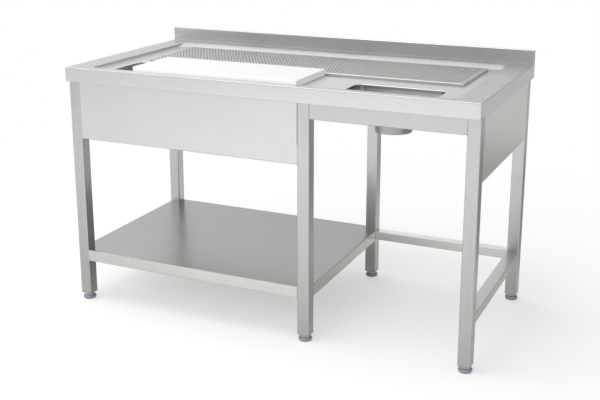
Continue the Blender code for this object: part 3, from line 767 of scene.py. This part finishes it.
def makeBowl():
    size = basinSize
    steps = pressSteps(size["bowlDepth"], size["bowlLean"], 0, size["bowlFoot"], 6)
    piece = makeBasin("sink_bowl_drawn", "bowl", steps)
    floor = size["under"] - size["bowlDepth"]
    x, y = size["wasteAt"]
    seat, drop = size["seat"], size["seatDrop"]
    floorHole(piece, x, y, floor, seat, 48)
    stepRings(x, y, floor, [
        (seat, 0),
        (seat - 0.0008, -0.0006),
        (seat - 0.0020, -drop + 0.0006),
        (seat - 0.0032, -drop),
        (size["wasteHole"], -drop),
    ])
    return finishSheet(piece)


def makeTrough():
    size = basinSize
    steps = pressSteps(size["troughDepth"], size["troughLean"], 0, size["troughFoot"], 5)
    piece = makeBasin("scrap_trough_drawn", "trough", steps)
    floor = size["under"] - size["troughDepth"]
    x, y = size["outletAt"]
    hole = size["outlet"]
    floorHole(piece, x, y, floor, hole + 0.0002, 64)
    stepRings(x, y, floor, [(hole + 0.0002, 0), (hole + 0.00005, -0.0008), (hole, -0.002)])
    return finishSheet(piece)


def makePan():
    size = basinSize
    steps = pressSteps(size["panDepth"], 90, 0, size["panFoot"])
    piece = makeBasin("drain_pan_drawn", "pan", steps)
    left, right, fore, aft = worktopSize["pan"]
    floor = size["under"] - size["panDepth"]
    # the floor falls to the left and to the front
    for tilt, axis, hinge in (
        (size["panFallLeft"] / (right - left), "Y", (right, 0, floor)),
        (size["panFallFront"] / (aft - fore), "X", (0, aft, floor)),
    ):
        pick(piece, "VERT", lambda vert, at: at.z < size["under"] - size["panDepth"] / 2)
        bpy.ops.transform.rotate(value=tilt, orient_axis=axis, center_override=hinge)
    return finishSheet(piece)


# painted light: the bowl and pan are a lighter copy of the sheet steel
basinSteelPaintedLight = brushedSteel(
    "basin_satin_sheet_painted_light", "X", (0.82, 0.82, 0.80), 0.34, folded=True, lines=0.03
)
# painted light and shade: the trough is a lighter copy of the sheet steel, with painted shade along
# its mouth and at its ends
troughSteelPaintedLightAndShade = brushedSteel(
    "trough_satin_sheet_painted_light_and_shade", "X", (0.86, 0.86, 0.84), 0.34, folded=True, lines=0.03,
    paintedLightShares={"mouth": 0.62, "ends": 0.45},
)
bowl = makeBowl()
clad(bowl, basinSteelPaintedLight, "table", ["sink_bowl"])
trough = makeTrough()
clad(trough, troughSteelPaintedLightAndShade, "table", ["scrap_trough"])
pan = makePan()
clad(pan, basinSteelPaintedLight, "table", ["drain_pan"])
print("basins made")


# turned pieces: a ring of corners drawn through an outline of (radius, height)

def turned(name, x, y, z, outline, segments=48, closed=True):
    deselectAll()
    radius, height = outline[0]
    addRing((x, y, z + height), radius, segments)
    piece = settle(name)
    openUp(piece)
    pickAll()
    stepRings(x, y, z, outline + [outline[0]] if closed else outline)
    if closed:
        pickAll()
        bpy.ops.mesh.remove_doubles(threshold=0.00001)
    else:
        for _, endHeight in (outline[0], outline[-1]):
            pick(piece, "EDGE", lambda edge, at: isOpen(edge) and near(at.z, z + endHeight))
            bpy.ops.mesh.edge_face_add()
    turnOutwards()
    closeUp()
    return piece


outletSteel = brushedSteel("outlet_dull_sheet", "Z", (0.40, 0.40, 0.39), 0.34)
outletLow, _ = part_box("scrap_outlet")
outletX, outletY = basinSize["outletAt"]
outlet = turned("scrap_outlet_collar", outletX, outletY, outletLow.z, [
    (0.0545, 0.030),
    (0.0545, 0.0),
    (0.0550, 0.0),
    (0.0560, 0.0004),
    (0.0560, 0.030),
], 96)
softened(outlet, cutEdge)
smoothed(outlet)
clad(outlet, outletSteel, "table", ["scrap_outlet"])

wasteSteel = brushedSteel("waste_bright_steel", "X", (0.70, 0.70, 0.70), 0.18, lines=0.02)
wasteX, wasteY = basinSize["wasteAt"]
seatZ = basinSize["under"] - basinSize["bowlDepth"] - basinSize["seatDrop"]
sleeve = turned("waste_sleeve_turned", wasteX, wasteY, seatZ, [
    (0.0175, 0.0023),
    (0.0180, 0.0030),
    (0.0185, 0.0033),
    (0.0330, 0.0033),
    (0.0355, 0.0026),
    (0.0367, 0.0014),
    (0.0370, 0.0004),
    (0.0220, 0.0003),
    (0.0220, -0.0297),
    (0.0175, -0.0297),
], 64)
smoothed(sleeve)
clad(sleeve, wasteSteel, "table", ["waste_sleeve"])


def plasticFinish(name, colour, roughness, scale=900, mottle=0.03):
    # moulded plastic: a fine pebble, slow tone changes and a little handling shine
    finish = Finish(name)
    grit = finish.noise(scale)
    tone = finish.noise(24, detail=3.0)
    rub = finish.noise(9, detail=3.0, rough=0.6, shift=(2, 9, 4))
    finish.wear(
        colour=finish.shade(tone, *around(colour, mottle)),
        roughness=roughness + 0.18 * (rub - 0.5) + 0.08 * (grit - 0.5),
        normal=finish.bump(grit, 0.00002),
    )
    finish.constant(ior=1.48)
    return finish.material


pipePlastic = plasticFinish("pipe_white_plastic", (0.90, 0.905, 0.90), 0.38, scale=400)
nutPlastic = plasticFinish("nut_dark_plastic", (0.10, 0.105, 0.11), 0.5)

nut = turned("waste_nut_moulded", wasteX, wasteY, seatZ, [
    (0.0223, -0.0018),
    (0.0335, -0.0018),
    (0.0340, -0.0023),
    (0.0340, -0.0042),
    (0.0335, -0.0048),
    (0.0300, -0.0048),
    (0.0300, -0.0113),
    (0.0295, -0.0118),
    (0.0223, -0.0118),
])


def isGrip(face, at):
    # every third strip round the nut's body
    out = Vector((at.x - wasteX, at.y - wasteY))
    if not near(at.z, seatZ - 0.00805, 0.0004) or abs(face.normal.z) > 0.3 or out.length < 0.028:
        return False
    return round(out.angle_signed(Vector((1, 0))) / pi * 24 - 0.5) % 3 == 0


openUp(nut)
pick(nut, "FACE", isGrip)
bpy.ops.mesh.inset(thickness=0.0002, depth=-0.0008, use_individual=True)
closeUp()
smoothed(nut, 25)
clad(nut, nutPlastic, "table", ["waste_nut"])

tail = turned("waste_tail_turned", wasteX, wasteY, seatZ, [
    (0.0152, -0.0197),
    (0.0172, -0.0197),
    (0.0172, -0.0300),
    (0.0220, -0.0300),
    (0.0220, -0.0330),
    (0.0172, -0.0330),
    (0.0172, -0.0580),
    (0.0152, -0.0580),
])
softened(tail, 0.0004)
smoothed(tail)
clad(tail, pipePlastic, "table", ["waste_tail"])

pipeLow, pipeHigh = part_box("overflow_pipe")
standpipe = turned("overflow_standpipe", wasteX, wasteY, 0, [
    (0.0145, pipeHigh.z - 0.0006),
    (0.0151, pipeHigh.z),
    (0.0159, pipeHigh.z),
    (0.0165, pipeHigh.z - 0.0006),
    (0.0165, seatZ + 0.0135),
    (0.0171, seatZ + 0.0120),
    (0.0190, seatZ + 0.0112),
    (0.0214, seatZ + 0.0100),
    (0.0220, seatZ + 0.0090),
    (0.0220, seatZ + 0.0046),
    (0.0214, seatZ + 0.0036),
    (0.0172, seatZ + 0.0036),
    (0.0165, pipeLow.z),
    (0.0145, pipeLow.z),
], 64)
smoothed(standpipe, 40)
clad(standpipe, pipePlastic, "standpipe", ["overflow_pipe"])
print("waste and standpipe made")

# spout between the drain pan and the bowl, and the holes it passes through

spoutSize = {"radius": 0.013, "bore": 0.0133, "boreLength": 0.060}
spoutLow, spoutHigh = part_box("drain_spout")
spoutMiddle = (spoutLow + spoutHigh) / 2


def openTube(name, radius, length):
    deselectAll()
    bpy.ops.mesh.primitive_cylinder_add(
        vertices=48, radius=radius, depth=length, end_fill_type="NOTHING",
        location=spoutMiddle, rotation=(pi / 2, 0, 0),
    )
    return settle(name)


def boreThrough(piece):
    cutter = openTube("cutter", spoutSize["bore"], spoutSize["boreLength"])
    openUp(cutter)
    pickAll()
    bpy.ops.mesh.fill_holes(sides=0)
    turnOutwards()
    closeUp()
    bore = piece.modifiers.new("bore", "BOOLEAN")
    bore.operation = "DIFFERENCE"
    bore.solver = "EXACT"
    bore.object = cutter
    applied(piece, bore)
    bpy.data.objects.remove(cutter)


for basin in (bowl, pan):
    boreThrough(basin)
spout = openTube("drain_spout_tube", spoutSize["radius"], spoutHigh.y - spoutLow.y)
giveWall(spout, sheetMetal)
softened(spout, cutEdge)
smoothed(spout)
# painted shade: this copy of the tube steel is painted darker than the one along the width
tubeSteelYPaintedShade = brushedSteel("tube_satin_along_depth_painted_shade", "Y", (0.62, 0.615, 0.605), 0.32)
clad(spout, tubeSteelYPaintedShade, "table", ["drain_spout"])

# cutting board

boardSize = {"corner": 0.005, "edge": 0.0025}
boardLow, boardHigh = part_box("cutting_board")
board = startBlock("cutting_board_slab", boardLow, boardHigh)
openUp(board)
pick(board, "EDGE", lambda edge, at: runsAlong(edge, 2))
roundEdges(boardSize["corner"], 5)
closeUp()
softened(board, boardSize["edge"], 3, 50)
smoothed(board)


def boardFinish():
    # white polyethylene with a fine pebble and faint crossing knife marks
    finish = Finish("board_white_plastic")
    grit = finish.noise(700)
    tone = finish.noise(6, detail=4.0)

    def marks(degrees, shift):
        turn = (0, 0, radians(degrees))
        spot = {"Vector": finish.place(), "Rotation": turn, "Location": shift, "Scale": (7, 320, 7)}
        line = finish.node("TexNoise", {
            "Vector": finish.node("Mapping", spot), "Scale": 1.0, "Detail": 1.0, "Roughness": 0.4,
        })
        return (line > 0.71) * finish.noise(14, shift=shift)

    cuts = marks(78, (0, 0, 0)) + marks(96, (3, 1, 2)) + marks(64, (1, 5, 0))
    white = (0.88, 0.88, 0.875)
    paint = finish.shade(0.6 * tone + 0.35 * cuts, white, [part * 0.955 for part in white])
    # painted shade: the top is painted darker than the sawn edges
    _, _, upwards = finish.facing()
    finish.wear(
        colour=finish.shade(upwards > 0.5, paint, finish.scaled(paint, 0.73)),
        roughness=0.42 + 0.12 * (tone - 0.5) + 0.15 * cuts + 0.1 * (grit - 0.5),
        normal=finish.bump(0.4 * grit - cuts, 0.00005),
    )
    finish.constant(ior=1.5)
    return finish.material


clad(board, boardFinish(), "board", ["cutting_board"])
print("cutting board made")

# perforated plate: staggered round holes in a sheet with its edges folded down

plateSize = {
    "pitch": 0.012,
    "hole": 0.0031,
    "across": 91,
    "rows": 26,
    "sides": 10,
    "corner": 0.007,
    "fold": 0.002,
}


def makePlate():
    size = plateSize
    low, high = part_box("perforated_plate")
    top = high.z
    pitch = size["pitch"]
    rowPitch = pitch * sqrt(3) / 2
    fieldWidth = (size["across"] + 0.5) * pitch
    fieldDepth = size["rows"] * rowPitch
    left = (low.x + high.x - fieldWidth) / 2
    fore = (low.y + high.y - fieldDepth) / 2
    # one cell: a square of eight corners bridged to a round hole
    cell = startSheet("plate_cell", (left, fore), (left + pitch, fore + rowPitch), top)
    openUp(cell)
    pickAll()
    bpy.ops.mesh.subdivide(number_cuts=1)
    middle = Vector((left + pitch / 2, fore + rowPitch / 2, top))
    pick(cell, "VERT", lambda vert, at: (at - middle).length < pitch * 0.1)
    bpy.ops.mesh.delete(type="VERT")
    addRing(middle, size["hole"], size["sides"])
    bpy.ops.mesh.select_mode(type="EDGE")
    pickAll()
    bpy.ops.mesh.bridge_edge_loops()
    closeUp()
    # every second row starts half a cell further right, and a plain half cell fills each gap
    rows = []
    for start, count in ((0, (size["rows"] + 1) // 2), (1, size["rows"] // 2)):
        row = copied(cell, "plate_row", (start * pitch / 2, start * rowPitch, 0))
        repeated(row, size["across"], (pitch, 0, 0))
        gapAt = left if start else left + size["across"] * pitch
        gapFore = fore + start * rowPitch
        gap = startSheet("plate_gap", (gapAt, gapFore), (gapAt + pitch, gapFore + rowPitch), top)
        openUp(gap)
        pickAll()
        bpy.ops.mesh.subdivide(number_cuts=1)
        pick(gap, "VERT", lambda vert, at: at.x > gapAt + pitch * 0.6)
        bpy.ops.mesh.delete(type="VERT")
        closeUp()
        for part in (row, gap):
            repeated(part, count, (0, 2 * rowPitch, 0))
            rows.append(part)
    bpy.data.objects.remove(cell)
    # the folded border
    piece = startBlock("perforated_plate_sheet", low, high)
    openUp(piece)
    removeFaces(piece, lambda face, at: near(at.z, low.z))
    pick(piece, "EDGE", lambda edge, at: runsAlong(edge, 2))
    roundEdges(size["corner"], 8)
    pick(piece, "FACE", lambda face, at: near(at.z, top))
    bpy.ops.mesh.region_to_loop()
    roundEdges(size["fold"], 4)
    removeFaces(piece, lambda face, at: near(at.z, top) and face.calc_area() > 0.1)
    closeUp()
    joinTo(piece, rows)
    openUp(piece)
    pickAll()
    bpy.ops.mesh.remove_doubles(threshold=0.00005)
    rim = 0.001
    field = (left + rim, left + fieldWidth - rim, fore + rim, fore + fieldDepth - rim)
    fillFlat(piece, top, lambda edge, at: edge.is_boundary and not isWithin(at, field))
    return finishSheet(piece)


plateSteel = brushedSteel(
    "plate_punched_sheet", "X", (0.56, 0.56, 0.54), 0.34, folded=True, lines=0.04
)
plate = makePlate()
clad(plate, plateSteel, "plate", ["perforated_plate"])
print("perforated plate made")

# legs: square tube with its upright edges rounded

tubeSize = {"corner": 0.003, "wall": 0.0015, "underSlope": 0.8178}
legNames = ("front_left", "front_mid", "front_right", "rear_left", "rear_mid", "rear_right")


def makeTube(name, low, high, axis):
    piece = startBlock(name, low, high)
    openUp(piece)
    removeFaces(piece, lambda face, at: abs(face.normal[axis]) > 0.9)
    pick(piece, "EDGE", lambda edge, at: runsAlong(edge, axis))
    roundEdges(tubeSize["corner"], 5)
    closeUp()
    giveWall(piece, tubeSize["wall"])
    softened(piece, cutEdge, 1, 60)
    smoothed(piece)
    return piece


legSteel = brushedSteel("leg_satin_tube", "Z", (0.53, 0.53, 0.525), 0.30)
# painted light: the rear legs are a lighter copy of the leg steel
rearLegSteelPaintedLight = brushedSteel("rear_leg_satin_tube_painted_light", "Z", (0.59, 0.59, 0.58), 0.30)
fullLow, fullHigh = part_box("leg_front_left")
fullLeg = makeTube("leg_tube_front_left", fullLow, fullHigh, 2)
legPieces = {"front_left": fullLeg}
for place in legNames:
    low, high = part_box("leg_" + place)
    if place == "rear_mid":
        high.z = tubeSize["underSlope"]
    if place in ("front_mid", "rear_mid"):
        legPieces[place] = makeTube("leg_tube_" + place, low, high, 2)
    elif place != "front_left":
        legPieces[place] = copied(fullLeg, "leg_tube_" + place, low - fullLow)
for place, leg in legPieces.items():
    steel = rearLegSteelPaintedLight if place.startswith("rear") else legSteel
    clad(leg, steel, "table", ["leg_" + place])

# painted light: this copy of the tube steel is painted lighter than the one along the depth
tubeSteelXPaintedLight = brushedSteel("tube_satin_along_width_painted_light", "X", (0.86, 0.855, 0.84), 0.31)
for node, axis, material in (
    ("rear_lower_rail", 0, tubeSteelXPaintedLight),
    ("side_lower_rail", 1, tubeSteelYPaintedShade),
    ("mid_bearer", 1, tubeSteelYPaintedShade),
):
    low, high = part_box(node)
    clad(makeTube(node + "_tube", low, high, axis), material, "table", [node])
print("legs and rails made")

# aprons and front rail: a face with a fold at the top and the bottom

apronSize = {"fold": 0.003, "seam": 0.0004}


def makeApron(node, axis, across, inwards):
    # axis is the way it runs, across the way it faces, inwards the side its folds turn to
    low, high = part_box(node)
    low[axis] += apronSize["seam"]
    high[axis] -= apronSize["seam"]
    piece = startBlock(node + "_sheet", low, high)
    openUp(piece)
    removeFaces(
        piece, lambda face, at: abs(face.normal[axis]) > 0.9
        or face.normal[across] * inwards > 0.9,
    )
    pick(piece, "EDGE", lambda edge, at: edge.is_manifold and runsAlong(edge, axis))
    roundEdges(apronSize["fold"], 4)
    return finishSheet(piece)


apronSteelX = brushedSteel(
    "apron_satin_along_width", "X", (0.66, 0.66, 0.655), 0.33, lines=0.035
)
# painted shade: the front rail is a darker copy of the apron steel, for the shade under the worktop
# skirt
railSteelPaintedShade = brushedSteel("rail_satin_sheet_painted_shade", "X", (0.56, 0.56, 0.555), 0.33, lines=0.035)
# painted light: the side aprons are a lighter copy of the apron steel
apronSteelYPaintedLight = brushedSteel(
    "apron_satin_along_depth_painted_light", "Y", (0.86, 0.845, 0.825), 0.33, lines=0.035
)
for node, axis, across, inwards, material in (
    ("front_apron", 0, 1, 1, apronSteelX),
    ("front_rail", 0, 1, 1, railSteelPaintedShade),
    ("rear_apron_left", 0, 1, -1, apronSteelX),
    ("rear_apron_right", 0, 1, -1, apronSteelX),
    ("side_apron_left", 1, 0, 1, apronSteelYPaintedLight),
    ("side_apron_right", 1, 0, -1, apronSteelYPaintedLight),
):
    apron = makeApron(node, axis, across, inwards)
    clad(apron, material, "table", [node])
print("aprons made")

# lower shelf: a tray turned down on four sides, notched round the legs

shelfSize = {"notch": 0.0403, "edge": 0.040, "lip": 0.012, "fold": 0.003}


def makeShelf():
    size = shelfSize
    low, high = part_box("lower_shelf")
    top = high.z
    notch = size["notch"]
    piece = startSheet("lower_shelf_tray", low, high, top)
    openUp(piece)
    cuts = ((0, low.x + notch), (0, high.x - notch), (1, low.y + notch), (1, high.y - notch))
    for axis, at in cuts:
        spot, way = [0, 0, top], [0, 0, 0]
        spot[axis], way[axis] = at, 1
        pickAll()
        bpy.ops.mesh.bisect(plane_co=spot, plane_no=way)
    pick(piece, "FACE", lambda face, at: face.calc_area() < notch * notch * 1.1)
    bpy.ops.mesh.delete(type="FACE")
    for axis, side, way in ((1, low.y, 1), (1, high.y, -1), (0, low.x, 1), (0, high.x, -1)):
        pick(
            piece, "EDGE", lambda edge, at: edge.is_boundary
            and near(at[axis], side) and near(at.z, top),
        )
        drawOut((0, 0, -size["edge"]))
        turn = [0, 0, 0]
        turn[axis] = way * size["lip"]
        drawOut(turn)
    pick(piece, "EDGE", lambda edge, at: isFold(edge))
    roundEdges(size["fold"], 4)
    pickAll()
    bpy.ops.mesh.dissolve_limited(angle_limit=radians(0.5))
    return finishSheet(piece)


shelfSteel = brushedSteel(
    "shelf_satin_sheet", "X", (0.70, 0.70, 0.69), 0.26, folded=True,
    spread=0.05, lines=0.02, fineBump=0.0000028, topColour=(0.40, 0.395, 0.385),
)
shelf = makeShelf()
clad(shelf, shelfSteel, "table", ["lower_shelf"])

# stiffeners under it: a hat section with a lip on both sides

stiffenerSize = {"lip": 0.015, "fold": 0.0025}


def makeStiffener(node):
    low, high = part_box(node)
    lip = stiffenerSize["lip"]
    piece = startSheet(node + "_hat", low, (high.x, low.y + lip), high.z)
    openUp(piece)
    pick(piece, "EDGE", lambda edge, at: near(at.y, low.y + lip))
    down = high.z - low.z - sheetMetal
    across = high.y - low.y - 2 * lip
    for move in ((0, 0, -down), (0, across, 0), (0, 0, down), (0, lip, 0)):
        drawOut(move)
    pick(piece, "EDGE", lambda edge, at: isFold(edge))
    roundEdges(stiffenerSize["fold"], 4)
    return finishSheet(piece)


for place in ("front", "rear"):
    node = "shelf_stiffener_" + place
    clad(makeStiffener(node), tubeSteelXPaintedLight, "table", [node])
print("shelf made")

# inserts and screw feet

insertPlastic = plasticFinish("insert_grey_plastic", (0.42, 0.45, 0.47), 0.55)
footPlastic = plasticFinish("foot_blue_grey_plastic", (0.26, 0.30, 0.35), 0.42, mottle=0.08)


def zincFinish():
    finish = Finish("foot_zinc_plating")
    patch = finish.noise(60, detail=4.0)
    fine = finish.noise(900)
    finish.wear(
        colour=finish.shade(patch, (0.38, 0.44, 0.50), (0.52, 0.57, 0.62)),
        roughness=0.34 + 0.2 * (patch - 0.5) + 0.1 * (fine - 0.5),
        normal=finish.bump(fine, 0.00001),
    )
    finish.constant(metallic=0.85)
    return finish.material


footMetal = zincFinish()
insertSize = {"flange": 0.0027, "step": 0.0018, "corner": 0.0024, "bore": 0.006}


def makeInsert(name, node):
    size = insertSize
    low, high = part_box(node)
    middle = (low + high) / 2
    shoulder = low.z + size["flange"]
    piece = startBlock(name, low, (high.x, high.y, shoulder))
    openUp(piece)
    pick(piece, "FACE", lambda face, at: near(at.z, shoulder))
    bpy.ops.mesh.inset(thickness=size["step"], depth=0)
    bpy.ops.mesh.extrude_region_move(TRANSFORM_OT_translate={"value": (0, 0, high.z - shoulder)})
    pick(piece, "EDGE", lambda edge, at: runsAlong(edge, 2))
    roundEdges(size["corner"], 3)
    for z, way in ((low.z, -1), (high.z, 1)):
        removeFaces(piece, lambda face, at: near(at.z, z) and face.normal.z * way > 0.9)
        addRing((middle.x, middle.y, z), size["bore"], 32)
        pick(piece, "EDGE", lambda edge, at: isOpen(edge) and near(at.z, z))
        bpy.ops.mesh.fill(use_beauty=True)
    pick(piece, "EDGE", lambda edge, at: edge.is_boundary)
    bpy.ops.mesh.bridge_edge_loops()
    turnOutwards()
    closeUp()
    softened(piece, 0.0004, 2, 60)
    smoothed(piece)
    return piece


def makePad(name, x, y):
    piece = turned(name, x, y, 0, [
        (0.0176, 0.0),
        (0.0188, 0.0003),
        (0.0202, 0.0012),
        (0.0211, 0.0026),
        (0.0215, 0.0045),
        (0.0215, 0.0072),
        (0.0212, 0.0088),
        (0.0204, 0.0102),
        (0.0191, 0.0111),
        (0.0176, 0.0115),
        (0.0090, 0.0115),
        (0.0084, 0.0110),
        (0.0083, 0.0046),
    ], 64, closed=False)
    smoothed(piece, 40)
    return piece


threadSize = {
    "pitch": 0.00175,
    "root": 0.0049,
    "tooth": 0.000736,
    "toothAt": 0.004956,
    "start": 0.0226,
    "turns": 25,
    "steps": 20,
}


def makeScrew(name, x, y):
    size = threadSize
    piece = turned(name, x, y, 0, [
        (0.0080, 0.0049),
        (0.0080, 0.0117),
        (0.0150, 0.0118),
        (0.0161, 0.0123),
        (0.0165, 0.0135),
        (0.0163, 0.0160),
        (0.0150, 0.0180),
        (0.0142, 0.0196),
        (0.0144, 0.0212),
        (0.0138, 0.0216),
        (size["root"], 0.0217),
        (size["root"], 0.0662),
        (0.0040, 0.0680),
    ], closed=False)
    # the thread: a small three-sided tooth wound up the stem
    deselectAll()
    bpy.ops.mesh.primitive_circle_add(
        vertices=3, radius=size["tooth"], fill_type="NOTHING",
        location=(size["toothAt"], 0, size["start"]), rotation=(0, pi / 2, 0),
    )
    thread = settle("thread")
    wind = thread.modifiers.new("wind", "SCREW")
    wind.screw_offset = size["pitch"]
    wind.iterations = size["turns"]
    wind.steps = size["steps"]
    wind.render_steps = size["steps"]
    applied(thread, wind)
    openUp(thread)
    pick(thread, "EDGE", lambda edge, at: edge.is_boundary)
    bpy.ops.mesh.edge_face_add()
    turnOutwards()
    closeUp()
    thread.location = (x, y, 0)
    bpy.ops.object.transform_apply(location=True)
    joinTo(piece, [thread])
    smoothed(piece, 40)
    return piece


firstLow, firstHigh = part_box("foot_pad_front_left")
firstX, firstY, _ = (firstLow + firstHigh) / 2
footParts = {
    "insert": makeInsert("leg_plug_front_left", "insert_front_left"),
    "foot_pad": makePad("pad_front_left", firstX, firstY),
    "foot_screw": makeScrew("screw_front_left", firstX, firstY),
}
footRoles = (
    ("insert", "leg_plug_", insertPlastic, "", "insert_plastic"),
    ("foot_pad", "pad_", footPlastic, "pad_", "foot_plastic"),
    ("foot_screw", "screw_", footMetal, "screw_", "foot_metal"),
)
made = []
for place in legNames:
    padLow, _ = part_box("foot_pad_" + place)
    move = (padLow.x - firstLow.x, padLow.y - firstLow.y, 0)
    for node, title, material, body, slot in footRoles:
        piece = footParts[node]
        if place != "front_left":
            piece = copied(piece, title + place, move)
        body = body + place if body else "table"
        made.append((piece, material, body, node + "_" + place, slot))
for piece, material, body, node, slot in made:
    clad(piece, material, body, [node])
print("feet made")
